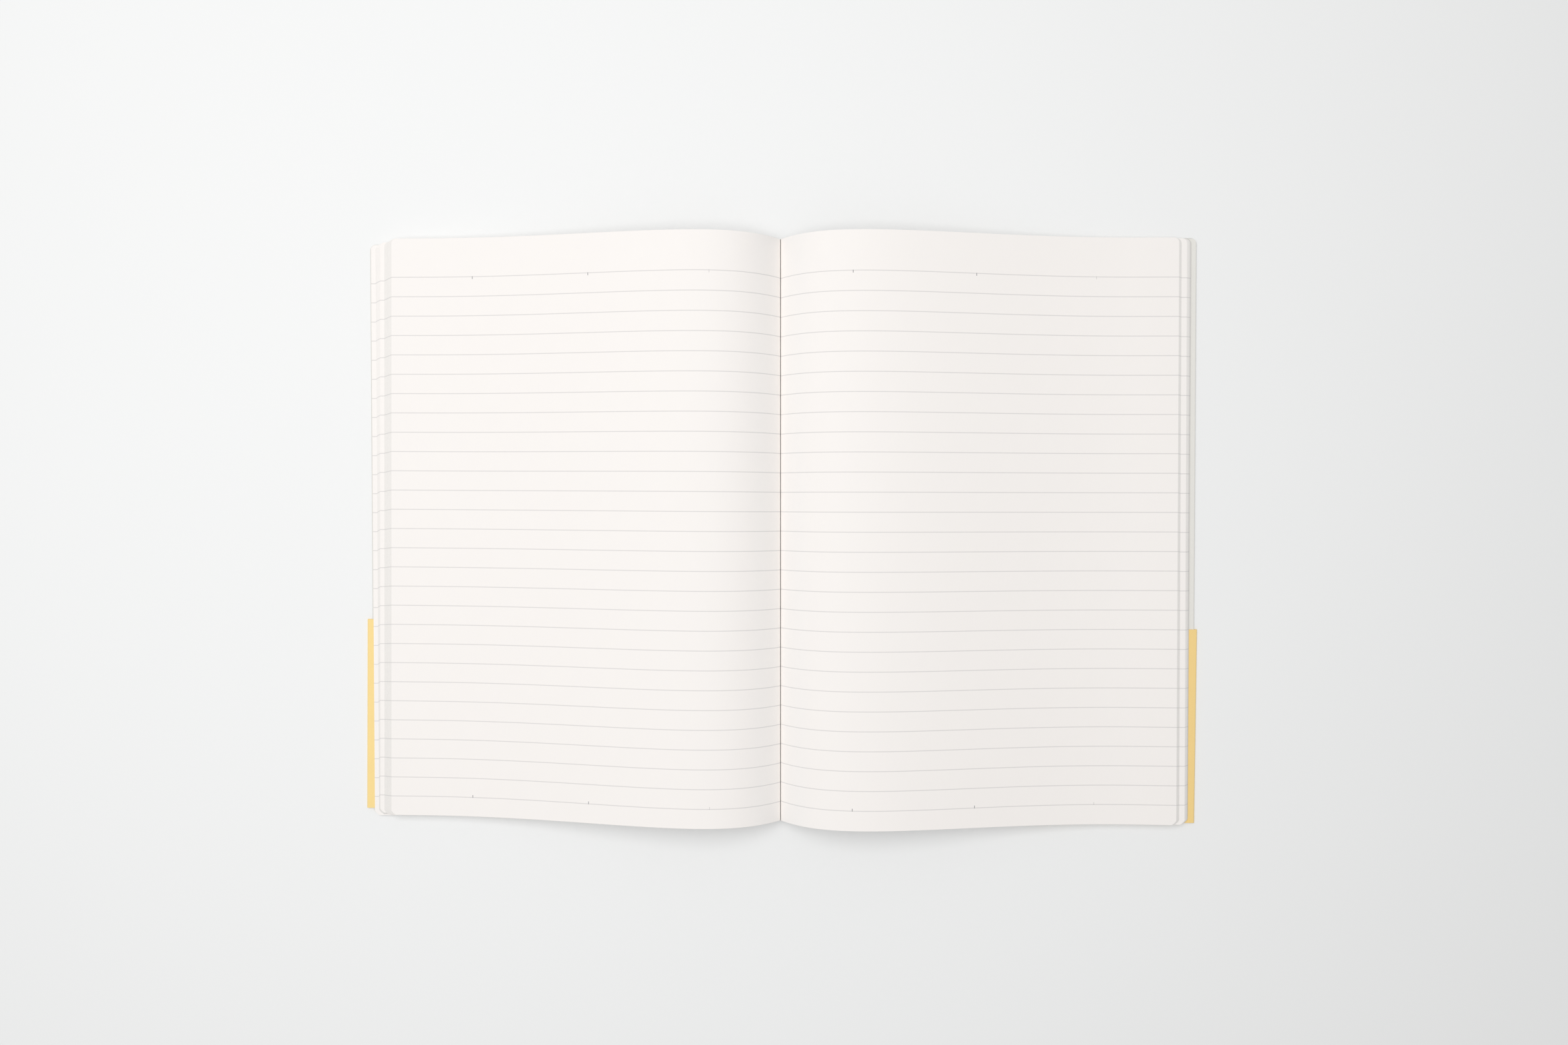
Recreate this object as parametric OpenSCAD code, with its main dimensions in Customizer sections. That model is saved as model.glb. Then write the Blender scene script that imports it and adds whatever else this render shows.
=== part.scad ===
// Softcover ruled notebook lying open on a table.
// The pages arch up on both sides of the gutter and fan out at the fore-edges.
// A paper band is wrapped round the lower third of the cover, its ends folded in.
// Millimetres. +Z up, +Y towards the head of the pages, the spine runs along Y.

/* [Pages] */
// Width of one leaf, measured along the paper
leaf_w = 147.5; // [130:0.5:170]
// Height of one leaf
leaf_h = 210; // [180:1:250]
// Thickness of one leaf, with the air between leaves
leaf_t = 0.11; // [0.09:0.005:0.13]
// Leaves in each bundle that the left side fans out into, from the top down
left_leaves = [29, 8, 5]; // [4:1:30]
// Leaves in each bundle that the right side fans out into, from the top down
right_leaves = [7, 15]; // [4:1:30]
// Radius of the rounded corners of leaves and covers
corner_r = 2; // [1:0.1:4]

/* [Arch of the open pages] */
// Steepness of the pages where they rise out of the gutter, in degrees
gutter_angle = 54; // [45:1:62]
// Height of the lowest leaf above the glue at the gutter
foot_rise = 0.15; // [0.05:0.05:0.6]
// Height of the left arch above the left fore-edge
left_arch_h = 15.8; // [8:0.1:20]
// Leaf width that the left arch leaves over, to climb and to lie flat at the fore-edge
left_spare = 17; // [12:0.5:40]
// Height of the right arch above the right fore-edge
right_arch_h = 17.6; // [8:0.1:20]
// Leaf width that the right arch leaves over, to climb and to lie flat at the fore-edge
right_spare = 20; // [12:0.5:40]

/* [Fanned fore-edges] */
// Width of the ledge that each bundle leaves showing on the one below it
ledge_w = 1.7; // [0.5:0.1:2]
// How far the sloping edges of the left bundles run out, from the top down
left_runs = [3.8, 1.4, 0.2]; // [0.2:0.1:4]
// How far the sloping edges of the right bundles run out, from the top down
right_runs = [1.3, 1.8]; // [0.2:0.1:4]

/* [Cover] */
// Thickness of the cover card
cover_t = 0.4; // [0.3:0.05:0.6]
// How much narrower a cover panel is than a leaf
cover_trim = 1; // [0:0.1:2.5]

/* [Spine glue] */
// Thickness of the glue between the leaves and the cover's spine
glue_t = 0.3; // [0.3:0.05:0.8]
// Distance of the glue from the head and the tail
glue_inset = 2; // [0:0.5:6]

/* [Paper band] */
// Height of the band
band_h = 70; // [40:1:100]
// Thickness of the band's paper
band_t = 0.2; // [0.1:0.05:0.2]
// Distance from the tail to the band's lower edge, at the spine
band_rise = 0.9; // [0:0.1:20]
// Turn of the band on the cover, its right end towards the tail, in degrees
band_turn = 0.5; // [0:0.05:1]
// Length of the flaps that are folded in at the fore-edges
flap_w = 60; // [30:1:90]
// How far the band stands out past the front cover
left_over = 2.2; // [0.7:0.1:4]
// How far the band stands out past the back cover
right_over = 0.8; // [0.7:0.1:4]

/* [Clearances] */
// Play between neighbouring layers of paper and card
layer_gap = 0.05; // [0.02:0.01:0.1]
// Play round the hinge edge of each cover
hinge_gap = 0.05; // [0.03:0.01:0.1]
// Gap in the band along each fold of the cover
fold_gap = 0.3; // [0.3:0.05:0.6]

/* [Hidden] */
$fn = 64;

PAGE = [0.97, 0.95, 0.93];
CARD = [0.88, 0.87, 0.83];
BAND = [0.97, 0.85, 0.56];
GLUE = [0.90, 0.87, 0.76];

// The left side is number 0 and the right side number 1 in every list below.
LEFT = 0;
RIGHT = 1;
arch_h = [left_arch_h, right_arch_h];
arch_w = [leaf_w - left_spare, leaf_w - right_spare];
runs = [left_runs, right_runs];
leaves = [left_leaves, right_leaves];

// Points along each arch, and the power that crowds them towards the gutter
arch_steps = 40;
crowding = 1.7;
// Length by which a cutting body reaches past what it cuts
past = 1;

// Heights of the layers above the table, from the band's outer face up
cover_z = band_t + layer_gap;
cover_top = cover_z + cover_t;
hinge_z = cover_z + cover_t / 2;
flap_z = cover_top + layer_gap;
flap_top = flap_z + band_t;
page_z = max(flap_top + layer_gap, cover_top + glue_t);

// Thickness of each half of the open pages
function total(list) = list * [for (n = list) 1];
side_t = [for (s = [LEFT, RIGHT]) leaf_t * total(leaves[s])];
spine_w = side_t[LEFT] + side_t[RIGHT];
gutter_x = (side_t[LEFT] - side_t[RIGHT]) / 2;
gutter_z = page_z + foot_rise + max(side_t) * cos(gutter_angle);

// Cover and band outlines
panel_w = leaf_w - cover_trim;
fold_x = spine_w / 2;
cover_x = fold_x + panel_w;
spine_half = fold_x - cover_t / 2 - hinge_gap;
bend_r = flap_top / 2;
band_half = [cover_x + left_over, cover_x + right_over];
band_y = -leaf_h / 2 + band_rise + band_h / 2;
band_low = band_y - band_half[RIGHT] * sin(band_turn) - band_h / 2 * cos(band_turn);

// Shift that puts the origin under the middle of the whole notebook
frame_x = (left_over - right_over) / 2 * cos(band_turn);
frame_y = -(leaf_h / 2 + min(-leaf_h / 2, band_low)) / 2;

// Height of the top leaf at its fore-edge
function edge_z(s) = page_z + side_t[s];

// Distance over which the pages climb out of the gutter
function climb(s) = (edge_z(s) + arch_h[s] - gutter_z) / tan(gutter_angle);

// Share of the arch's height that is left at u from the gutter: a half wave of a cosine
function wave(s, u) = u < arch_w[s] ? (1 + cos(180 * u / arch_w[s])) / 2 : 0;
function wave_slope(s, u) = u < arch_w[s] ? -PI / 2 / arch_w[s] * sin(180 * u / arch_w[s]) : 0;

// Height and slope of the top leaf at u from the gutter
function leaf_z(s, u) =
    let (k = exp(-u / climb(s)))
    gutter_z * k + (1 - k) * (edge_z(s) + arch_h[s] * wave(s, u));
function leaf_slope(s, u) =
    let (k = exp(-u / climb(s)))
    k / climb(s) * (edge_z(s) + arch_h[s] * wave(s, u) - gutter_z)
    + (1 - k) * arch_h[s] * wave_slope(s, u);

// Point on the top leaf, and the point square below it on the lowest leaf
function top_point(s, u) = [u, leaf_z(s, u)];
function low_point(s, u) =
    let (m = leaf_slope(s, u), n = sqrt(1 + m * m))
    [u + side_t[s] * m / n, leaf_z(s, u) - side_t[s] / n];

function station(s, i) = arch_w[s] * pow(i / arch_steps, crowding);

// Paper that the arch takes up beyond its width on the table
function slack(s, i = 1) =
    i > arch_steps ? 0
    : norm(top_point(s, station(s, i)) - top_point(s, station(s, i - 1)))
      - station(s, i) + station(s, i - 1) + slack(s, i + 1);

// Bundles of leaves on one side, counted from the top
function last_bundle(s) = len(leaves[s]) - 1;
function bundle_t(s, k) = leaf_t * leaves[s][k];
function run(s, k) = runs[s][min(k, len(runs[s]) - 1)];
function edge_u(s, k) =
    k == 0 ? leaf_w - slack(s) : edge_u(s, k - 1) + run(s, k - 1) + ledge_w;
function bundle_top(s, k) =
    k == 0 ? edge_z(s) : bundle_top(s, k - 1) - bundle_t(s, k - 1);

// Outline of one side: over the arch, down the fanned bundles and back underneath
function side_points(s) = concat(
    [for (i = [1:arch_steps]) top_point(s, station(s, i))],
    [for (k = [0:last_bundle(s)], end = [0, 1])
        [edge_u(s, k) + end * run(s, k), bundle_top(s, k) - end * bundle_t(s, k)]],
    [for (i = [arch_steps:-1:0]) low_point(s, station(s, i))],
    [[low_point(s, 0)[0], page_z]]);

function reversed(list) = [for (i = [len(list) - 1:-1:0]) list[i]];

module placed() {
    translate([frame_x, frame_y, 0]) children();
}

// Extrudes an outline drawn in X and Z along Y, centred
module along_spine(length) {
    translate([0, length / 2, 0])
        rotate([90, 0, 0])
            linear_extrude(length) children();
}

// What the rounded corner of one bundle takes away at the head, on the right-hand side
module corner_cut(s, k) {
    drop = bundle_t(s, k);
    lean = atan2(run(s, k), drop);
    foot = [edge_u(s, k) + run(s, k), 0, bundle_top(s, k) - drop];
    reach = drop / cos(lean) + 2 * past;
    intersection() {
        translate(foot)
            rotate([0, -lean, 0])
                translate([-corner_r, leaf_h / 2 - corner_r, -past])
                    linear_extrude(reach) difference() {
                        square(corner_r + past);
                        circle(corner_r);
                    }
        translate(foot + [-leaf_w / 2, 0, 0])
            cube([leaf_w, leaf_h, drop + past / 2]);
    }
}

module text_block() {
    color(PAGE) placed() translate([gutter_x, 0, 0]) difference() {
        along_spine(leaf_h)
            polygon(concat(
                [[0, gutter_z]],
                side_points(RIGHT),
                reversed([for (p = side_points(LEFT)) [-p[0], p[1]]])));
        for (s = [LEFT, RIGHT], k = [0:last_bundle(s)], end = [0, 1])
            mirror([1 - s, 0, 0]) mirror([0, end, 0]) corner_cut(s, k);
    }
}

module spine_glue() {
    foot = [for (s = [LEFT, RIGHT]) low_point(s, 0)[0]];
    color(GLUE) placed()
        translate([gutter_x - foot[LEFT], -leaf_h / 2 + glue_inset, cover_top])
            cube([foot[LEFT] + foot[RIGHT], leaf_h - 2 * glue_inset, page_z - cover_top]);
}

// Right-hand cover panel: a flat card with a round hinge edge and two rounded corners
module cover_panel() {
    translate([fold_x, 0, cover_z]) linear_extrude(cover_t) {
        translate([0, -leaf_h / 2]) square([panel_w - corner_r, leaf_h]);
        translate([0, -leaf_h / 2 + corner_r]) square([panel_w, leaf_h - 2 * corner_r]);
        for (end = [-1, 1])
            translate([panel_w - corner_r, end * (leaf_h / 2 - corner_r)]) circle(corner_r);
    }
    translate([fold_x, -leaf_h / 2, hinge_z])
        rotate([-90, 0, 0]) cylinder(r = cover_t / 2, h = leaf_h);
}

module front_cover() {
    color(CARD) placed() mirror([1, 0, 0]) cover_panel();
}

module back_cover() {
    color(CARD) placed() cover_panel();
}

module cover_spine() {
    color(CARD) placed()
        translate([-spine_half, -leaf_h / 2, cover_z])
            cube([2 * spine_half, leaf_h, cover_t]);
}

// Strip with one square end at zero and one round end
module round_ended(length, height) {
    square([length, height]);
    translate([length, height / 2]) circle(height / 2);
}

// One end of the band in section: the outer stretch, the bend at the fore-edge and the flap
module band_section(length) {
    straight = length - bend_r;
    difference() {
        round_ended(straight, flap_top);
        translate([0, band_t]) round_ended(straight, flap_top - 2 * band_t);
        translate([-past, band_t]) square([straight - flap_w + past, flap_top]);
    }
}

module band_turned() {
    translate([0, band_y, 0]) rotate([0, 0, -band_turn]) along_spine(band_h) children();
}

// Everything between the two sides of the spine, out to half of the given width
module spine_zone(half, top) {
    translate([-half, -leaf_h, -past]) cube([2 * half, 2 * leaf_h, top + 2 * past]);
}

module band_end(s) {
    difference() {
        band_turned() mirror([1 - s, 0]) band_section(band_half[s]);
        spine_zone(fold_x + fold_gap, flap_top);
    }
}

module band_front() {
    color(BAND) placed() band_end(LEFT);
}

module band_back() {
    color(BAND) placed() band_end(RIGHT);
}

// The part of the band on the spine stops clear of the side parts when the covers fold back
module band_spine() {
    half = fold_x - hinge_z - hinge_gap;
    color(BAND) placed() intersection() {
        band_turned() translate([-spine_w, 0]) square([2 * spine_w, band_t]);
        spine_zone(half, band_t);
    }
}

text_block();
spine_glue();
front_cover();
cover_spine();
back_cover();
band_front();
band_spine();
band_back();
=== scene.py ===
"""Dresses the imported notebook: ruled leaves with their edges, card cover, paper band, table and light."""
import math

import bpy
import numpy as np
from bpy.props import FloatProperty, FloatVectorProperty, IntVectorProperty, PointerProperty
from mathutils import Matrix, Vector


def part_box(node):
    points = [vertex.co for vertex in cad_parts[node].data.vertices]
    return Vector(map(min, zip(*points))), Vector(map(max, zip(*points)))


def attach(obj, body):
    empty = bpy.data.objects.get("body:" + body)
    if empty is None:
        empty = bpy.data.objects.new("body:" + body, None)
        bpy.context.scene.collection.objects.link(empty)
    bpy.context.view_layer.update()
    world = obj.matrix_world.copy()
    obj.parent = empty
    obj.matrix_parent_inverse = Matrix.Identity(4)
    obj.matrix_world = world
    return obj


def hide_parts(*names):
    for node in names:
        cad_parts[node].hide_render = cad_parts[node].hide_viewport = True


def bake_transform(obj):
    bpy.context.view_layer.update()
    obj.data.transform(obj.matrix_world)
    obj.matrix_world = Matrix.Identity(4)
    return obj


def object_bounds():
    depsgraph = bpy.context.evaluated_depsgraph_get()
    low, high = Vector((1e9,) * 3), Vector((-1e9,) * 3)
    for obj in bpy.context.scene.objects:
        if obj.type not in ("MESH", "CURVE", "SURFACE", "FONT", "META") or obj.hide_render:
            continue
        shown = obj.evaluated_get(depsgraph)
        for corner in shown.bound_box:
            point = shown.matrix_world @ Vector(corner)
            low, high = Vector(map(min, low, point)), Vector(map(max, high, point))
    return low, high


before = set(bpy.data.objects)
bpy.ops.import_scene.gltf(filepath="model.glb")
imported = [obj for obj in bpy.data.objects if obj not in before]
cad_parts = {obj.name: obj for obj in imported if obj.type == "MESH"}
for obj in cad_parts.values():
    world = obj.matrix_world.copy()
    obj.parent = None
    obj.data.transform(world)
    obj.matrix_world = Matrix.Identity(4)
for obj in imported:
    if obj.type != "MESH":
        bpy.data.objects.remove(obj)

bl_info = {
    "name": "Open ruled notebook",
    "version": (1, 0, 0),
    "blender": (4, 5, 0),
    "location": "3D View > Sidebar > Notebook",
    "description": "Ruled pages, card cover and paper band of an open notebook on a table",
    "category": "Object",
}

MM = 0.001
CAD_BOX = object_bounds()

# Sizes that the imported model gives
BLOCK_LOW, BLOCK_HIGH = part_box("text_block")
FRONT_LOW, FRONT_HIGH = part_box("front_cover")
BACK_LOW, BACK_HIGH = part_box("back_cover")
CARD_T = FRONT_HIGH.z - FRONT_LOW.z
FRONT_FOLD = FRONT_HIGH.x - CARD_T / 2
BACK_FOLD = BACK_LOW.x + CARD_T / 2
SPINE_X = (FRONT_FOLD + BACK_FOLD) / 2
SPINE_W = BACK_FOLD - FRONT_FOLD
LEAF_H = BLOCK_HIGH.y - BLOCK_LOW.y
MIDDLE_Y = (BLOCK_HIGH.y + BLOCK_LOW.y) / 2
PAGE_Z = BLOCK_LOW.z

# Fineness of the meshes
ACROSS = 96
ALONG = 44
CORNER = 7
CROWDING = 1.7
WALK_POINTS = 6000
BACK_COLUMNS = 5
BACK_ROWS = 9
CREASE_POINTS = (13, 9)
TABLE_POINTS = 13
SHARP_ANGLE = math.radians(32)

# How the leaves lie
FIRST_SEED = 3  # of what varies by chance
SLOPE_STEP = 0.01 * MM  # step to both sides that slopes are taken over
TWIST_START = 8 * MM  # distance from the gutter over which the twist sets in
FLAT_START = 0.4  # share of the width where lower leaves begin to lie flat
FLAT_LENGTH = 0.5  # share of the width over which they come to lie flat
PAPER_SHARE = 0.86  # share of a leaf's room that its paper fills
TWIST_FADES = {"left": (0.6, 3.0), "right": (2.0, 1.5)}  # twist lost over the width, and its power
# The darker foot is painted contact shade under the lowest leaves.
FOOT_SHADES = {"left": (0.85, 0.3), "right": (0.45, 0.75)}  # leaves above the darker foot, and its gain

# Folded backs of the leaves
BACK_SINK = 0.01 * MM  # how far they lie below the gutter
GAP_SHORT = 0.08 * MM  # how much shorter the gaps between them are
BACK_DARK = 0.9  # how dark they are
# The gaps' extra darkness is painted shade between the leaves.
GAP_SHADE = 0.7  # how much darker the gaps are
BACK_TINT = 9  # distance from the fold, in millimetres, whose tint they take

# Table and camera
TABLE_REACH = 3.0  # half the table's width
PICTURE_W = 2353  # width of the picture in pixels
LENS_PIXELS = 1700  # focal length in the same pixels
SENSOR_W = 36  # in millimetres
NEAREST = 10 * MM  # nearest distance that the camera sees

WHITE = (1.0, 1.0, 1.0)


def number(name, description, default):
    """A plain number."""
    return FloatProperty(name=name, description=description, default=default, precision=5)


def length(name, description, default):
    """A size in metres."""
    return FloatProperty(name=name, description=description, default=default, unit="LENGTH", precision=5)


def angle(name, description, degrees):
    """An angle, given in degrees."""
    return FloatProperty(name=name, description=description, default=math.radians(degrees), unit="ROTATION")


def counts(name, description, *defaults):
    """Whole numbers, one for each bundle from the top down."""
    return IntVectorProperty(name=name, description=description, default=defaults, size=len(defaults))


def numbers(name, description, *defaults):
    """Plain numbers, one for each bundle from the top down."""
    return FloatVectorProperty(name=name, description=description, default=defaults, size=len(defaults),
                               precision=5)


def lengths(name, description, *defaults):
    """Sizes in metres, one for each bundle from the top down."""
    return FloatVectorProperty(name=name, description=description, default=defaults, size=len(defaults),
                               unit="LENGTH", precision=5)


def colour(name, description, *default):
    """A colour in linear light."""
    return FloatVectorProperty(name=name, description=description, default=default, size=3,
                               subtype="COLOR", min=0.0, max=1.0)


def position(name, description, *default):
    """A place in the notebook's frame."""
    return FloatVectorProperty(name=name, description=description, default=default, size=3,
                               subtype="TRANSLATION")


def turn(name, description, *degrees):
    """A turn about the three axes, given in degrees."""
    return FloatVectorProperty(name=name, description=description, default=[math.radians(a) for a in degrees],
                               size=3, subtype="EULER")


class NotebookPages(bpy.types.PropertyGroup):
    """Sizes of the leaves and of the way they lie open."""
    leaf_width: length("Leaf width", "Width of one leaf along the paper", 0.1475)
    leaf_gain: length("Leaf gain", "How much taller the leaves stand than the plain block", 0.0001)
    corner: length("Corner size", "Reach of the leaves' cut corners", 0.0016)
    head_corner: number("Head corners", "1 for round corners, 2 for straight ones", 1.1)
    tail_corner: number("Tail corners", "1 for round corners, 2 for straight ones", 1.6)
    gutter_angle: angle("Gutter angle", "Steepness of the pages where they leave the gutter", 54)
    foot_rise: length("Foot rise", "Height of the lowest leaf above the glue at the gutter", 0.00015)
    crease_depth: length("Crease depth", "Depth of the fold line in the gutter", 0.0003)
    crease_width: length("Crease width", "Width over which the fold line closes", 0.0001)
    trim: length("Trim", "How unevenly the leaves are trimmed", 0.00005)
    left_leaves: counts("Left leaves", "Leaves in each left bundle", 29, 8, 5)
    left_arch: length("Left arch", "Height of the left arch above its fore-edge", 0.0158)
    left_spare: length("Left spare", "Leaf width that the left arch leaves over", 0.017)
    left_gain: length("Left gain", "How far the left leaves stand out past their flat width", 0.0)
    left_ledges: lengths("Left ledges", "Width that shows of each lower left bundle", 0.00155, 0.00145)
    left_runs: lengths("Left runs", "Run of each left bundle's sloping edge", 0.0039, 0.0015, 0.00015)
    left_turns: numbers("Left turns", "Shear of each left bundle's top leaf", -0.0062, -0.0026, 0.0028)
    left_leans: numbers("Left leans", "Lean of each left bundle's fore-edge", 0.0087, 0.0065, -0.0007)
    left_stretch: number("Left stretch", "Growth of the top left leaf along the spine", 0.001)
    left_tails: lengths("Left tails", "How much shorter each left bundle is at the tail", 0.0, 0.0005, 0.0002)
    # The edge values are partly the cut edges' own greyer tone and partly painted shade: lighter on the left,
    # which faces the light, and darker towards the tail.
    left_head_edges: numbers("Left edges, head", "How dark each left bundle's cut edges are at the head",
                             0.80, 0.25, 0.15)
    left_tail_edges: numbers("Left edges, tail", "How dark each left bundle's cut edges are at the tail",
                             0.93, 1.15, 0.15)
    left_twist: number("Left twist", "Rise of the left arch from tail to head", 0.013)
    right_leaves: counts("Right leaves", "Leaves in each right bundle", 7, 15)
    right_arch: length("Right arch", "Height of the right arch above its fore-edge", 0.0176)
    right_spare: length("Right spare", "Leaf width that the right arch leaves over", 0.020)
    right_gain: length("Right gain", "How far the right leaves stand out past their flat width", 0.00025)
    right_ledges: lengths("Right ledges", "Width that shows of the lower right bundle", 0.0019)
    right_runs: lengths("Right runs", "Run of each right bundle's sloping edge", 0.0012, 0.0018)
    right_turns: numbers("Right turns", "Shear of each right bundle's top leaf", -0.00147, -0.0026)
    right_leans: numbers("Right leans", "Lean of each right bundle's fore-edge", 0.0015, 0.0)
    right_stretch: number("Right stretch", "Growth of the top right leaf along the spine", 0.0)
    right_tails: lengths("Right tails", "How much shorter each right bundle is at the tail", 0.0, 0.0)
    # The right values are higher as painted shade, because these edges face away from the light; above 1 they
    # take the deeper painted shade.
    right_head_edges: numbers("Right edges, head", "How dark each right bundle's cut edges are at the head",
                              1.1, 0.8)
    right_tail_edges: numbers("Right edges, tail", "How dark each right bundle's cut edges are at the tail",
                              1.1, 0.8)
    right_twist: number("Right twist", "Rise of the right arch from tail to head", 0.009)


class NotebookRules(bpy.types.PropertyGroup):
    """Layout of the ruling, the same on every page."""
    pitch: length("Pitch", "Distance between two rules", 0.007)
    head_margin: length("Head margin", "Distance from the head to the first rule", 0.01405)
    tail_margin: length("Tail margin", "Distance from the tail to the last rule", 0.00706)
    width: length("Rule width", "Width of a rule", 0.0003)
    tick_length: length("Tick length", "Length of the short marks on the first and last rule", 0.00085)
    tick_width: length("Tick width", "Width of the short marks", 0.00025)
    tick_pitch: length("Tick pitch", "Distance between two short marks", 0.0441)
    tick_shift: length("Tick shift", "How far right of the page's middle the middle mark stands", 0.0005)


class NotebookColours(bpy.types.PropertyGroup):
    """Colours of the papers, the card, the glue and the table."""
    paper: colour("Paper", "Colour of the leaves", 0.935, 0.900, 0.872)
    # The cut edges darken towards this colour by the rim values, which also carry painted shade.
    edge: colour("Edges", "Colour of the leaves' cut edges", 0.80, 0.78, 0.755)
    # The fold colour is painted shade: the dark line stands for the shade deep in the crease of the gutter.
    fold: colour("Fold", "Colour of the fold line in the gutter", 0.345, 0.335, 0.322)
    ink: colour("Ink", "What a rule leaves of the paper's colour", 0.785, 0.79, 0.80)
    tick: colour("Short marks", "What a short mark leaves of the paper's colour", 0.38, 0.39, 0.41)
    card: colour("Card", "Colour of the cover card", 0.82, 0.805, 0.76)
    band: colour("Band", "Colour of the paper band", 0.965, 0.73, 0.304)
    band_fibre: colour("Band fibres", "Colour of the pale fibres in the band", 0.95, 0.80, 0.48)
    glue: colour("Glue", "Colour of the spine's glue", 0.78, 0.74, 0.60)
    table: colour("Table", "Colour of the table", 0.888, 0.893, 0.890)


class NotebookStage(bpy.types.PropertyGroup):
    """Light and camera."""
    sky: number("Sky", "Strength of the even light from all round", 0.41)
    lamp: number("Lamp", "Power of the wide lamp overhead, in watts", 6.45)
    lamp_size: length("Lamp size", "Side of the square lamp", 0.872)
    lamp_place: position("Lamp place", "Middle of the lamp", -0.175, 0.162, 0.872)
    camera_place: position("Camera place", "Where the camera stands", 0.01753, 0.01051, 0.41318)
    camera_turn: turn("Camera turn", "How the camera is turned from straight down", -1.006, 2.034, 0.003)
    focal: number("Focal length", "Focal length in image widths", LENS_PIXELS / PICTURE_W)


class Value:
    """A socket of a finish. Arithmetic on it adds Math nodes."""

    def __init__(self, finish, socket):
        self.finish = finish
        self.socket = socket

    def maths(self, operation, *values):
        return self.finish.node("ShaderNodeMath", {"operation": operation}, dict(enumerate(values)))

    def __add__(self, other):
        return self.maths("ADD", self, other)

    __radd__ = __add__

    def __sub__(self, other):
        return self.maths("SUBTRACT", self, other)

    def __rsub__(self, other):
        return self.maths("SUBTRACT", other, self)

    def __mul__(self, other):
        return self.maths("MULTIPLY", self, other)

    __rmul__ = __mul__

    def __truediv__(self, other):
        return self.maths("DIVIDE", self, other)

    def __rtruediv__(self, other):
        return self.maths("DIVIDE", other, self)

    def __gt__(self, other):
        return self.maths("GREATER_THAN", self, other)

    def __lt__(self, other):
        return self.maths("LESS_THAN", self, other)

    def __abs__(self):
        return self.maths("ABSOLUTE", self)

    def fraction(self):
        return self.maths("FRACT", self)

    def larger(self, other):
        return self.maths("MAXIMUM", self, other)


class Finish:
    """The nodes of one procedural material, or of the world."""

    def __init__(self, owner):
        self.owner = owner
        self.owner.use_nodes = True
        self.tree = self.owner.node_tree
        self.tree.nodes.clear()

    def node(self, kind, settings=(), inputs=(), output=0):
        """Adds a node: its settings first, then its sockets' values or links. Gives one of its outputs."""
        made = self.tree.nodes.new(kind)
        for name, value in dict(settings).items():
            setattr(made, name, value)
        for key, value in dict(inputs).items():
            if isinstance(value, Value):
                self.tree.links.new(value.socket, made.inputs[key])
            else:
                made.inputs[key].default_value = value
        return Value(self, made.outputs[output]) if made.outputs else None

    def place(self):
        """The point's place in the notebook's frame, in metres."""
        return self.node("ShaderNodeTexCoord", output="Object")

    def attribute(self, name, output):
        """One of the mesh's own attributes."""
        return self.node("ShaderNodeAttribute", {"attribute_name": name}, output=output)

    def parts(self, vector):
        """The three numbers of a vector."""
        return [self.node("ShaderNodeSeparateXYZ", inputs={0: vector}, output=i) for i in range(3)]

    def noise(self, place, scale, detail, roughness=0.5, stretch=None):
        """Cloudy noise from 0 to 1, with scale features to a metre, stretched per axis if wanted."""
        if stretch:
            place = self.node("ShaderNodeMapping", inputs={"Vector": place, "Scale": stretch})
        return self.node("ShaderNodeTexNoise", inputs={"Vector": place, "Scale": scale, "Detail": detail,
                                                       "Roughness": roughness}, output="Fac")

    def ramp(self, value, low, high):
        """0 up to low, 1 from high on and smooth between; falls where low is above high."""
        rising = low < high
        return self.node("ShaderNodeMapRange", {"interpolation_type": "SMOOTHSTEP"},
                         {0: value, 1: min(low, high), 2: max(low, high),
                          3: 0.0 if rising else 1.0, 4: 1.0 if rising else 0.0})

    def mix(self, share, first, second, blend="MIX"):
        """One colour towards another by a share."""
        return self.node("ShaderNodeMix", {"data_type": "RGBA", "blend_type": blend},
                         {0: share, 6: shade(first), 7: shade(second)}, output=2)

    def tinted(self, first, second):
        """One colour multiplied by another."""
        return self.mix(1.0, first, second, "MULTIPLY")

    def bump(self, height, distance):
        """The normal over a relief of the given height."""
        return self.node("ShaderNodeBump", inputs={"Strength": 1.0, "Distance": distance, "Height": height})

    def surface(self, base, roughness, normal, specular):
        """Ends a material in one matt surface."""
        shader = self.node("ShaderNodeBsdfPrincipled",
                           inputs={"Base Color": base, "Roughness": roughness, "Normal": normal,
                                   "Specular IOR Level": specular})
        self.node("ShaderNodeOutputMaterial", inputs={"Surface": shader})
        return self.owner


def shade(value, share=1.0):
    """A colour as a socket takes it, darkened to a share."""
    if isinstance(value, Value):
        return value
    return tuple(share * c for c in value)[:3] + (1.0,)


def material(name):
    """A new material's nodes."""
    return Finish(bpy.data.materials.new(name))


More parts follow.
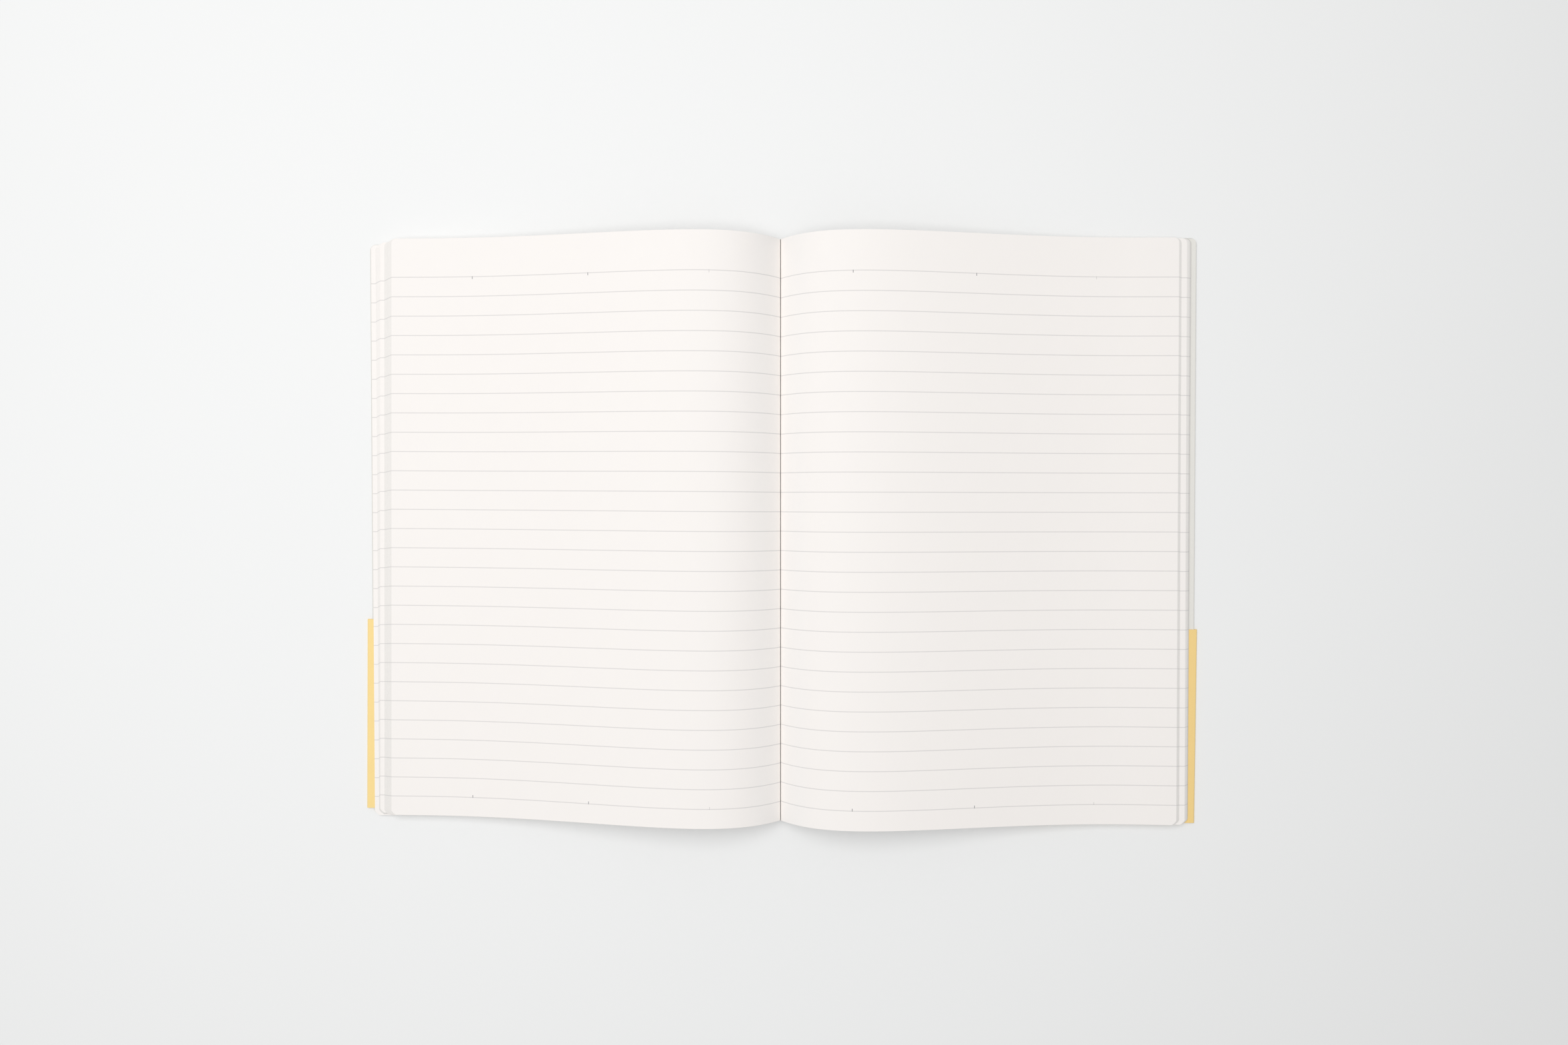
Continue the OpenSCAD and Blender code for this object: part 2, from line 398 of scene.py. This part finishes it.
def leaf_paper(f, colours, cloud, fibre, leaf_place):
    """Colour of the bare paper: clouds, fibres, streaky cut edges with painted shade on them, a cool gutter
    and painted shade along its fold line.
    """
    across, up, leaf = leaf_place
    cloud_tone, fibre_tone, fibre_share = 0.985, 0.8, 0.06
    edge_share, leaf_share, streak_share, deep_shade_tone = 0.64, 0.3, 0.3, 0.75
    streak_per_leaf, streak_per_mm = 0.7, 0.015
    gutter_tint = (0.992, 1.0, 1.005)

    paper = f.mix(cloud, shade(colours.paper, cloud_tone), colours.paper)
    paper = f.mix(f.ramp(fibre, low=0.62, high=0.8) * fibre_share, paper, shade(colours.paper, fibre_tone))

    rim = f.attribute("rim", "Fac")
    tone = f.node("ShaderNodeTexWhiteNoise", {"noise_dimensions": "1D"}, {"W": leaf})
    along = f.node("ShaderNodeCombineXYZ",
                   inputs={0: leaf * streak_per_leaf, 1: (across + up) * streak_per_mm})
    streak = f.noise(along, scale=1.0, detail=2)
    # The cut edges darken towards the edge colour by rim: partly their own tone, partly painted shade.
    paper = f.mix(rim * (edge_share + leaf_share * tone + streak_share * streak), paper, colours.edge)
    # Rim values above 1 take a deeper tone, which is painted shade.
    paper = f.mix(f.ramp(rim, low=1.0, high=1.6), paper, shade(colours.edge, deep_shade_tone))

    gutter = f.attribute("gutter", "Fac")
    near_gutter = f.ramp(gutter, low=17, high=9) * f.ramp(gutter, low=0.5, high=3)
    paper = f.mix(near_gutter, paper, f.tinted(paper, gutter_tint))
    # The fold line is painted shade of the deep crease at the gutter.
    return f.mix(f.ramp(gutter, low=0.28, high=0.1), paper, colours.fold)


def ruling(f, colours, rules, width, height, leaf_place, wear):
    """What the print leaves of the paper's colour: even rules, and short marks on the first and last."""
    across, up, _ = leaf_place
    soft_rule, soft_tick = (1.35, 0.65), (0.7, 0.35)
    outermost_tick, fading, half_a_tick = 1.4, 0.65, 0.5

    first = height / 2 - rules.head_margin / MM
    last = -height / 2 + rules.tail_margin / MM
    pitch = rules.pitch / MM
    reach = rules.width / MM / 2
    from_rule = abs(((first - up) / pitch + 0.5).fraction() - 0.5) * pitch
    inside = (up < first + pitch / 2) * (up > last - pitch / 2)
    rule = f.ramp(from_rule, *(reach * soft for soft in soft_rule)) * inside

    gap = rules.tick_pitch / MM
    order = (across - width / 2 - rules.tick_shift / MM) / gap
    from_tick = abs((order + 0.5).fraction() - 0.5) * gap
    on_tick = f.ramp(from_tick, *(rules.tick_width / MM * soft for soft in soft_tick))
    tall = rules.tick_length / MM
    hanging = (up < first + reach) * (up > first - tall)
    standing = (up > last - reach) * (up < last + tall)
    faint = 1.0 - fading * (order > half_a_tick)
    tick = on_tick * (abs(order) < outermost_tick) * (hanging + standing) * faint

    inked = f.mix(rule * wear, WHITE, colours.ink)
    return f.mix(tick, inked, colours.tick)


def ruled_paper(colours, rules, width, height):
    """Uncoated white paper: cloudy tone, fibres in relief, printed rules and short marks.

    The attribute "leaf" gives each point's place on its own leaf in millimetres, from the page's left edge
    and from its middle height, and the number of the leaf, so the print follows the paper over the arch and
    down the fanned edges. "gutter" is the distance from the fold in millimetres, and "rim" is how dark the
    cut
    edges are, 0 away from them: their own greyer tone together with painted shade, deeper on edges that face
    away from the light, towards the tail, in the gaps and at the foot of the lowest leaves."""
    f = material("ruled_paper")
    place = f.place()
    leaf_place = f.parts(f.attribute("leaf", "Vector"))
    cloud = f.noise(place, scale=160, detail=4)
    fibre = f.noise(place, scale=1500, detail=3, roughness=0.6, stretch=(1.0, 0.35, 1.0))
    patchy = f.noise(place, scale=700, detail=2)
    wear_least, wear_range, wear_on_edges, cloud_relief = 0.85, 0.3, 0.25, 0.6
    wear = (wear_least + wear_range * patchy) * (1 - wear_on_edges * f.attribute("rim", "Fac"))
    paper = leaf_paper(f, colours, cloud, fibre, leaf_place)
    base = f.tinted(paper, ruling(f, colours, rules, width, height, leaf_place, wear))
    roughness = 0.86 - 0.1 * fibre
    relief = f.bump(fibre + cloud_relief * cloud, distance=0.02 * MM)
    return f.surface(base, roughness, relief, specular=0.25)


def cover_card(colours):
    """Uncoated grey card: broad clouds, flecks of darker fibre, a felt-like relief and painted shade along
    its edges.
    """
    f = material("cover_card")
    place = f.place()
    x, y, _ = f.parts(place)
    cloud_tone, fleck_tone, fleck_share, edge_shade_tone = 0.96, 0.75, 0.12, 0.6
    edge_shade_least, edge_shade_range = 0.3, 0.4
    past_side = abs(x - SPINE_X) - (SPINE_X - FRONT_LOW.x)
    past_end = abs(y - MIDDLE_Y) - LEAF_H / 2
    near_edge = f.ramp(past_side.larger(past_end), low=-0.3 * MM, high=-0.05 * MM)
    cloud = f.noise(place, scale=90, detail=4)
    fleck = f.noise(place, scale=1900, detail=3, roughness=0.6, stretch=(0.6, 1.0, 1.0))
    felt = f.noise(place, scale=2600, detail=2)
    base = f.mix(cloud, shade(colours.card, cloud_tone), colours.card)
    base = f.mix(f.ramp(fleck, low=0.6, high=0.75) * fleck_share, base, shade(colours.card, fleck_tone))
    # Darker rim along the card's edges: painted shade of the rounded edge turning away from the light.
    base = f.mix(near_edge * (edge_shade_least + edge_shade_range * cloud), base, shade(colours.card, edge_shade_tone))
    roughness = 0.8 - 0.12 * felt
    relief = f.bump(felt + fleck, distance=0.03 * MM)
    return f.surface(base, roughness, relief, specular=0.3)


def band_paper(colours):
    """Dyed paper of the band: fine mottle, pale fibres, a faintly calendered face and painted shade on its
    right end.
    """
    f = material("band_paper")
    place = f.place()
    x = f.parts(place)[0]
    cloud_tone, fibre_share, cloud_relief = 0.96, 0.12, 0.5
    end_shade_tint, end_shade_start, end_shade_full = (0.965, 0.93, 0.90), BACK_HIGH.x - 8 * MM, BACK_HIGH.x - 4 * MM
    cloud = f.noise(place, scale=120, detail=4)
    fibre = f.noise(place, scale=1300, detail=3, roughness=0.6, stretch=(0.35, 1.0, 1.0))
    base = f.mix(cloud, shade(colours.band, cloud_tone), colours.band)
    base = f.mix(f.ramp(fibre, low=0.62, high=0.8) * fibre_share, base, colours.band_fibre)
    # Painted shade darkens the band's right end, which lies away from the light.
    base = f.mix(f.ramp(x, end_shade_start, end_shade_full), base, f.tinted(base, end_shade_tint))
    roughness = 0.7 - 0.12 * fibre
    relief = f.bump(fibre + cloud_relief * cloud, distance=0.02 * MM)
    return f.surface(base, roughness, relief, specular=0.35)


def spine_adhesive(colours):
    """Dried glue: cloudy, a little shiny, with a lumpy skin."""
    f = material("spine_adhesive")
    lump_tone = 0.85
    lump = f.noise(f.place(), scale=500, detail=3)
    base = f.mix(lump, shade(colours.glue, lump_tone), colours.glue)
    roughness = 0.35 + 0.2 * lump
    relief = f.bump(lump, distance=0.1 * MM)
    return f.surface(base, roughness, relief, specular=0.5)


def table_top(colours):
    """Matt painted table: even, with a faint cloud and grain."""
    f = material("table_top")
    place = f.place()
    cloud_tone = 0.99
    cloud = f.noise(place, scale=9, detail=3)
    grain = f.noise(place, scale=900, detail=2)
    base = f.mix(cloud, shade(colours.table, cloud_tone), colours.table)
    roughness = 0.7 - 0.1 * grain
    relief = f.bump(grain, distance=0.01 * MM)
    return f.surface(base, roughness, relief, specular=0.25)


class PageSide:
    """One side of the open pages, left or right, worked out across the spine.

    The top leaf's height over u, the distance from the gutter, is g k + (1 - k) (e + h c): k falls off as
    exp(-u / climb), g is the gutter's height, e the height at the fore-edge, h the arch's height and c half a
    wave of a cosine over the arch's width. A lower leaf lies square below the top one by its depth. The head
    is lifted against the tail by the twist, and every leaf is sheared a little along the spine and leans at
    its fore-edge."""

    def __init__(self, pages, word):
        def own(name):
            return getattr(pages, f"{word}_{name}")

        left, right = sum(pages.left_leaves), sum(pages.right_leaves)
        self.sign = -1 if word == "left" else 1
        self.leaf_t = SPINE_W / (left + right)
        self.counts = list(own("leaves"))
        self.firsts = np.concatenate([[0], np.cumsum(self.counts)])
        self.thick = self.leaf_t * self.firsts[-1]
        self.width, self.leaf_h, self.trim = pages.leaf_width, LEAF_H + pages.leaf_gain, pages.trim
        self.corner, self.corner_powers = pages.corner, (pages.tail_corner, pages.head_corner)
        self.tails, self.stretch = list(own("tails")), own("stretch")
        self.turns, self.leans = list(own("turns")), list(own("leans"))
        self.rims = list(zip(own("tail_edges"), own("head_edges")))
        self.foot_start, self.foot_dark = FOOT_SHADES[word]
        self.twist, (self.twist_fade, self.twist_power) = own("twist"), TWIST_FADES[word]
        self.crease_depth, self.crease_width = pages.crease_depth, pages.crease_width
        self.arch, self.arch_w = own("arch"), pages.leaf_width - own("spare")
        thickest = self.leaf_t * max(left, right)
        self.gutter_z = PAGE_Z + pages.foot_rise + thickest * math.cos(pages.gutter_angle)
        self.gutter_x = SPINE_X + self.leaf_t * (left - right) / 2
        self.edge_z = PAGE_Z + self.thick
        self.climb = (self.edge_z + self.arch - self.gutter_z) / math.tan(pages.gutter_angle)
        table = np.linspace(0, self.width, WALK_POINTS)
        step = np.hypot(np.diff(table), np.diff(self.height(table)))
        self.walk = (table, np.concatenate([[0], np.cumsum(step)]))
        edge = float(np.interp(self.width, self.walk[1], table)) + own("gain")
        self.edges = []
        for run, ledge in zip(own("runs"), [*own("ledges"), 0]):
            self.edges.append((edge, edge + run))
            edge += run + ledge

    def height(self, u):
        """Height of the top leaf at u."""
        k = np.exp(-u / self.climb)
        wave = np.where(u < self.arch_w, (1 + np.cos(np.pi * np.minimum(u / self.arch_w, 1))) / 2, 0)
        return self.gutter_z * k + (1 - k) * (self.edge_z + self.arch * wave)

    def slope(self, u):
        """Steepness of the top leaf at u, from a small difference to both sides."""
        before, after = np.maximum(u - SLOPE_STEP, 0), u + SLOPE_STEP
        return (self.height(after) - self.height(before)) / (after - before)

    def points(self, u, y, depth):
        """Places of points at u from the gutter and y from the middle of leaves at the given depth."""
        m = self.slope(u)
        n = np.sqrt(1 + m * m)
        share = np.clip(depth / self.thick, 0, 1)
        t = np.clip((u - FLAT_START * self.width) / (FLAT_LENGTH * self.width), 0, 1)
        flat = t * t * (3 - 2 * t)
        far = u / self.width
        lift = self.twist * (1 - np.exp(-u / TWIST_START)) * (1 - self.twist_fade * far ** self.twist_power)
        z = self.height(u) - depth / n + lift * y * (1 - share * flat)
        z = z - self.crease_depth * np.exp(-u / self.crease_width) * (1 - share)
        levels = self.firsts / self.firsts[-1]
        lean = np.interp(share, levels, self.leans + self.leans[-1:])
        shear = np.interp(share, levels, self.turns + self.turns[-1:])
        x = self.sign * (u + depth * m / n) + lean * y * far
        y = y * (1 + self.stretch * np.clip(1 - share / levels[1], 0, 1))
        return np.stack([self.gutter_x + x, MIDDLE_Y + y + shear * x, z], -1)

    def darkness(self, k, y, leaf):
        """How dark a bundle's cut edges are, with painted shade: from its tail to its head value, and more at
        the foot, where painted contact shade darkens the lowest leaves.
        """
        tail, head = self.rims[k]
        low_down = np.maximum(leaf / self.firsts[-1] - self.foot_start, 0) / (1 - self.foot_start)
        return tail + (head - tail) * (y / self.leaf_h + 0.5) + self.foot_dark * low_down

    def on_leaf(self, u, y, leaf, rim):
        """What the paper's finish reads: the place on the leaf in millimetres from the page's left edge and
        from its middle, the leaf's number, the distance from the gutter in millimetres and how dark the cut
        edges are, painted shade included."""
        along = np.interp(u, *self.walk)
        across = along if self.sign > 0 else self.width - along
        return np.stack([across / MM, y / MM, leaf + 0 * u, along / MM, rim + 0 * u], -1)


def leaf_rows(side, k):
    """Each row's place along the spine, and how far its end stands back, on the leaves of one bundle.

    The rows run straight between two corners. A corner is a quarter circle with its sine and cosine raised
    to a power: 1 leaves it round and 2 cuts it straight."""
    arc = np.linspace(0, np.pi / 2, CORNER + 1)[1:]
    straight = np.linspace(-1, 1, ALONG)
    (tail_y, head_y), (tail_x, head_x) = ([wave(arc).clip(0) ** power for power in side.corner_powers]
                                          for wave in (np.sin, np.cos))
    rows = np.concatenate([-tail_y[::-1], 0 * straight, head_y]) * side.corner
    rows += np.concatenate([-np.ones(CORNER), straight, np.ones(CORNER)]) * (side.leaf_h / 2 - side.corner)
    rows = np.where(rows < 0, rows * (1 - 2 * side.tails[k] / side.leaf_h), rows)
    inset = np.concatenate([1 - tail_x[::-1], 0 * straight, 1 - head_x]) * side.corner
    return rows, inset


def bundle_shell(side, k, seed):
    """Closed shell of one bundle of leaves, and what its finish reads.

    Top and bottom are grids of u, crowded towards the gutter as a power, and y. The rim has two rings for
    each leaf, its upper and its lower edge; the leaves' ends step from the bundle's top edge to its bottom
    edge, and each leaf is trimmed a hair differently."""
    count, first = side.counts[k], side.firsts[k]
    chance = np.random.default_rng(seed)
    a = np.linspace(0, 1, ACROSS) ** CROWDING
    rows, inset = leaf_rows(side, k)
    start, end = side.edges[k]
    leaf = np.arange(count)
    edge = start + (end - start) * (leaf + 0.5) / count + chance.normal(0, side.trim, count)
    edge[0] = start
    tall = 1 + chance.normal(0, side.trim, count) / (side.leaf_h / 2)
    ring_leaf = np.repeat(leaf, 2)
    ring_depth = (first + ring_leaf + np.tile([0, PAPER_SHARE], count)) * side.leaf_t

    grid = np.meshgrid(np.arange(ACROSS), np.arange(len(rows)), indexing="ij")
    loop = outline(ACROSS, len(rows))
    rim_rings = np.arange(1, len(ring_leaf) - 1)[:, None]
    sheets, marks = [], []
    for ring, (i, j), cut in ((0, grid, 0), (-1, grid, 0), (rim_rings, loop, 1)):
        n = ring_leaf[ring]
        u, y = a[i] * (edge[n] - inset[j]), rows[j] * tall[n]
        sheets.append(side.points(u, y, ring_depth[ring]))
        marks.append(side.on_leaf(u, y, first + n, cut * side.darkness(k, y, first + n)))
    mark = np.concatenate([part.reshape(-1, part.shape[-1]) for part in marks])
    return *shell(*sheets, mirrored=side.sign < 0), mark


def folded_backs(left, right, seed):
    """Closed wedge of the leaves' folded backs between the gutter and the glue, and what its finish reads.

    Its top falls away from the gutter to both sides, square to the leaves that leave it there; its foot is
    flat. Of the columns to a leaf, the last is the gap to the next leaf, darkened by painted shade and a
    little short at both ends."""
    chance = np.random.default_rng(seed)
    steep = left.slope(0.0)
    across = left.leaf_t * steep / np.hypot(1, steep)
    step = np.arange(-BACK_COLUMNS * left.firsts[-1], BACK_COLUMNS * right.firsts[-1] + 1)
    x, leaf = step / BACK_COLUMNS * across, np.abs(step) / BACK_COLUMNS
    gap = np.abs(step) % BACK_COLUMNS == BACK_COLUMNS - 1
    share = leaf / np.where(step < 0, left.firsts[-1], right.firsts[-1])
    top = left.gutter_z - np.abs(x) / steep - left.crease_depth * (1 - share) - BACK_SINK
    trim = chance.normal(0, left.trim, step.size)[step // BACK_COLUMNS] - GAP_SHORT * gap
    y = np.linspace(-1, 1, BACK_ROWS)
    i, j = np.meshgrid(np.arange(x.size), np.arange(y.size), indexing="ij")
    up = y[j] * (left.leaf_h / 2 + trim[i])
    sheets = [np.stack([left.gutter_x + x[i], MIDDLE_Y + up, z], -1) for z in (top[i], PAGE_Z + 0 * x[i])]
    mark = np.stack([0 * x[i], up / MM, leaf[i] - leaf[i] % 1, BACK_TINT + 0 * x[i],
                     BACK_DARK + GAP_SHADE * gap[i]], -1)
    return *shell(*sheets), np.tile(mark.reshape(-1, mark.shape[-1]), (2, 1))


def crease(low, high):
    """Thin strip from one corner to the other: x runs across the fold in fine steps and y along it."""
    x, y = np.meshgrid(*(np.linspace(*ends) for ends in zip(low.xy, high.xy, CREASE_POINTS)), indexing="ij")
    return shell(*(np.stack([x, y, 0 * x + z], -1) for z in (high.z, low.z)))


def outline(rows, columns):
    """Row and column numbers once round the edge of a grid."""
    a, b = np.arange(rows), np.arange(columns)
    return (np.concatenate([a[:-1], 0 * b[:-1] + a[-1], a[:0:-1], 0 * b[:0:-1]]),
            np.concatenate([0 * a[:-1], b[:-1], 0 * a[:0:-1] + b[-1], b[:0:-1]]))


def grid_faces(rows, columns):
    """The four corners of each cell of a grid."""
    index = np.arange(rows * columns).reshape(rows, columns)
    return np.stack([index[:-1, :-1], index[1:, :-1], index[1:, 1:], index[:-1, 1:]], -1).reshape(-1, 4)


def shell(top, bottom, rim=(), mirrored=False):
    """Points and faces of a top grid, a bottom grid and the rings of points on the rim between them."""
    rows, columns = top.shape[:2]
    sheet = rows * columns
    quads = grid_faces(rows, columns)
    i, j = outline(rows, columns)
    loop = i * columns + j
    between = 2 * sheet + np.arange(len(rim) * loop.size).reshape(-1, loop.size)
    rings = np.vstack([loop, between, sheet + loop])
    after = np.roll(rings, -1, 1)
    wall = np.stack([rings[:-1], rings[1:], after[1:], after[:-1]], -1).reshape(-1, 4)
    faces = np.concatenate([quads, quads[:, ::-1] + sheet, wall])
    points = np.concatenate([np.reshape(part, (-1, 3)) for part in (top, bottom, rim)])
    return points, faces[:, ::-1] if mirrored else faces


def piece(name, points, faces, finish, mark=None):
    """A mesh object at the origin from arrays of points and quads, smooth up to sharp edges."""
    mesh = bpy.data.meshes.new(name)
    mesh.vertices.add(len(points))
    mesh.vertices.foreach_set("co", points.astype(np.float32).ravel())
    mesh.loops.add(faces.size)
    mesh.loops.foreach_set("vertex_index", faces.astype(np.int32).ravel())
    mesh.polygons.add(len(faces))
    mesh.polygons.foreach_set("loop_start", np.arange(0, faces.size, faces.shape[1], dtype=np.int32))
    mesh.polygons.foreach_set("use_smooth", np.ones(len(faces), dtype=bool))
    mesh.update(calc_edges=True)
    if mark is not None:
        leaf, gutter, rim = np.split(mark.astype(np.float32), (3, 4), axis=1)
        for attribute, kind, field, values in (("leaf", "FLOAT_VECTOR", "vector", leaf),
                                               ("gutter", "FLOAT", "value", gutter),
                                               ("rim", "FLOAT", "value", rim)):
            layer = mesh.attributes.new(attribute, kind, "POINT")
            layer.data.foreach_set(field, values.ravel())
    if mesh.validate():
        raise RuntimeError(f"{name} has broken faces")
    mesh.set_sharp_from_angle(angle=SHARP_ANGLE)
    mesh.materials.append(finish)
    made = bpy.data.objects.new(name, mesh)
    bpy.context.scene.collection.objects.link(made)
    return made


def dress(names, finish):
    """Gives CAD nodes their finish."""
    for name in names:
        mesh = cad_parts[name].data
        mesh.materials.clear()
        mesh.materials.append(finish)


class NOTEBOOK_OT_pages(bpy.types.Operator):
    """Ruled leaves in five bundles, in place of the plain block of pages"""
    bl_idname = "notebook.pages"
    bl_label = "Ruled pages"

    def execute(self, context):
        pages, rules = context.scene.notebook_pages, context.scene.notebook_rules
        finish = ruled_paper(context.scene.notebook_colours, rules, pages.leaf_width / MM,
                             (LEAF_H + pages.leaf_gain) / MM)
        sides = {word: PageSide(pages, word) for word in ("left", "right")}
        shells = {"folded_backs": folded_backs(*sides.values(), FIRST_SEED)}
        for word, side in sides.items():
            for k in range(len(side.counts)):
                shells[f"{word}_leaves_{k + 1}"] = bundle_shell(side, k, FIRST_SEED + len(shells))
        for name, (points, faces, mark) in shells.items():
            made = piece(name, points, faces, finish, mark)
            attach(made, "pages")
            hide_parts("text_block")
        return {"FINISHED"}


class NOTEBOOK_OT_cover(bpy.types.Operator):
    """Card of the cover and glue of the spine"""
    bl_idname = "notebook.cover"
    bl_label = "Card cover"

    def execute(self, context):
        colours = context.scene.notebook_colours
        dress(["front_cover", "cover_spine", "back_cover"], cover_card(colours))
        dress(["spine_glue"], spine_adhesive(colours))
        return {"FINISHED"}


class NOTEBOOK_OT_band(bpy.types.Operator):
    """Paper band round the cover, with the creases that join it over the folds"""
    bl_idname = "notebook.band"
    bl_label = "Paper band"

    def execute(self, context):
        finish = band_paper(context.scene.notebook_colours)
        dress(["band_front", "band_spine", "band_back"], finish)
        low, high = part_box("band_spine")
        ends = {"front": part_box("band_front")[1].x, "back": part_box("band_back")[0].x}
        for word, edge, end in (("front", low.x, ends["front"]), ("back", high.x, ends["back"])):
            near, far = min(edge, end), max(edge, end)
            points, faces = crease(Vector((near, low.y, low.z)), Vector((far, high.y, high.z)))
            made = piece(f"band_crease_{word}", points, faces, finish)
            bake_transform(made)
        return {"FINISHED"}


class NOTEBOOK_OT_stage(bpy.types.Operator):
    """Pale table, soft light and the camera over the open pages"""
    bl_idname = "notebook.stage"
    bl_label = "Table, light and camera"

    def execute(self, context):
        scene, stage = context.scene, context.scene.notebook_stage
        scene.view_settings.view_transform = "Standard"
        self.table(scene.notebook_colours)
        self.light(scene, stage)
        self.camera(scene, stage)
        return {"FINISHED"}

    def table(self, colours):
        """A flat square table under the lowest point of the notebook."""
        line = np.linspace(-TABLE_REACH, TABLE_REACH, TABLE_POINTS)
        x, y = np.meshgrid(line, line, indexing="ij")
        points = np.stack([x, y, 0 * x + CAD_BOX[0].z], -1).reshape(-1, 3)
        piece("table", points, grid_faces(TABLE_POINTS, TABLE_POINTS), table_top(colours))

    def light(self, scene, stage):
        """Even light from all round, and a wide lamp overhead."""
        scene.world = bpy.data.worlds.new("soft_sky")
        sky = Finish(scene.world)
        glow = sky.node("ShaderNodeBackground", inputs={"Color": shade(WHITE), "Strength": stage.sky})
        sky.node("ShaderNodeOutputWorld", inputs={"Surface": glow})
        lamp = bpy.data.lights.new("overhead_lamp", "AREA")
        lamp.energy, lamp.size = stage.lamp, stage.lamp_size
        hung = bpy.data.objects.new("overhead_lamp", lamp)
        hung.location = stage.lamp_place
        scene.collection.objects.link(hung)

    def camera(self, scene, stage):
        """The camera, above the gutter and almost straight down."""
        camera = bpy.data.cameras.new("camera")
        camera.sensor_fit, camera.sensor_width = "HORIZONTAL", SENSOR_W
        camera.lens = camera.sensor_width * stage.focal
        camera.clip_start = NEAREST
        holder = bpy.data.objects.new("camera", camera)
        holder.location, holder.rotation_euler = stage.camera_place, stage.camera_turn
        scene.collection.objects.link(holder)
        scene.camera = holder


class VIEW3D_PT_notebook(bpy.types.Panel):
    """Lists the notebook's pieces and their sizes and colours"""
    bl_label = "Notebook"
    bl_space_type = "VIEW_3D"
    bl_region_type = "UI"
    bl_category = "Notebook"

    def draw(self, context):
        for operator in OPERATORS:
            self.layout.operator(operator.bl_idname)
        for group in GROUPS:
            settings = getattr(context.scene, group)
            for name in settings.__annotations__:
                self.layout.prop(settings, name)


GROUPS = {"notebook_pages": NotebookPages, "notebook_rules": NotebookRules,
          "notebook_colours": NotebookColours, "notebook_stage": NotebookStage}
OPERATORS = (NOTEBOOK_OT_stage, NOTEBOOK_OT_pages, NOTEBOOK_OT_cover, NOTEBOOK_OT_band)


def register():
    for made in (*GROUPS.values(), *OPERATORS, VIEW3D_PT_notebook):
        bpy.utils.register_class(made)
    for name, group in GROUPS.items():
        setattr(bpy.types.Scene, name, PointerProperty(type=group))


def unregister():
    for name in GROUPS:
        delattr(bpy.types.Scene, name)
    for made in (VIEW3D_PT_notebook, *reversed(OPERATORS), *reversed(GROUPS.values())):
        bpy.utils.unregister_class(made)


def main():
    register()
    bpy.ops.notebook.stage()
    bpy.ops.notebook.pages()
    bpy.ops.notebook.cover()
    bpy.ops.notebook.band()


if __name__ == "__main__":
    main()
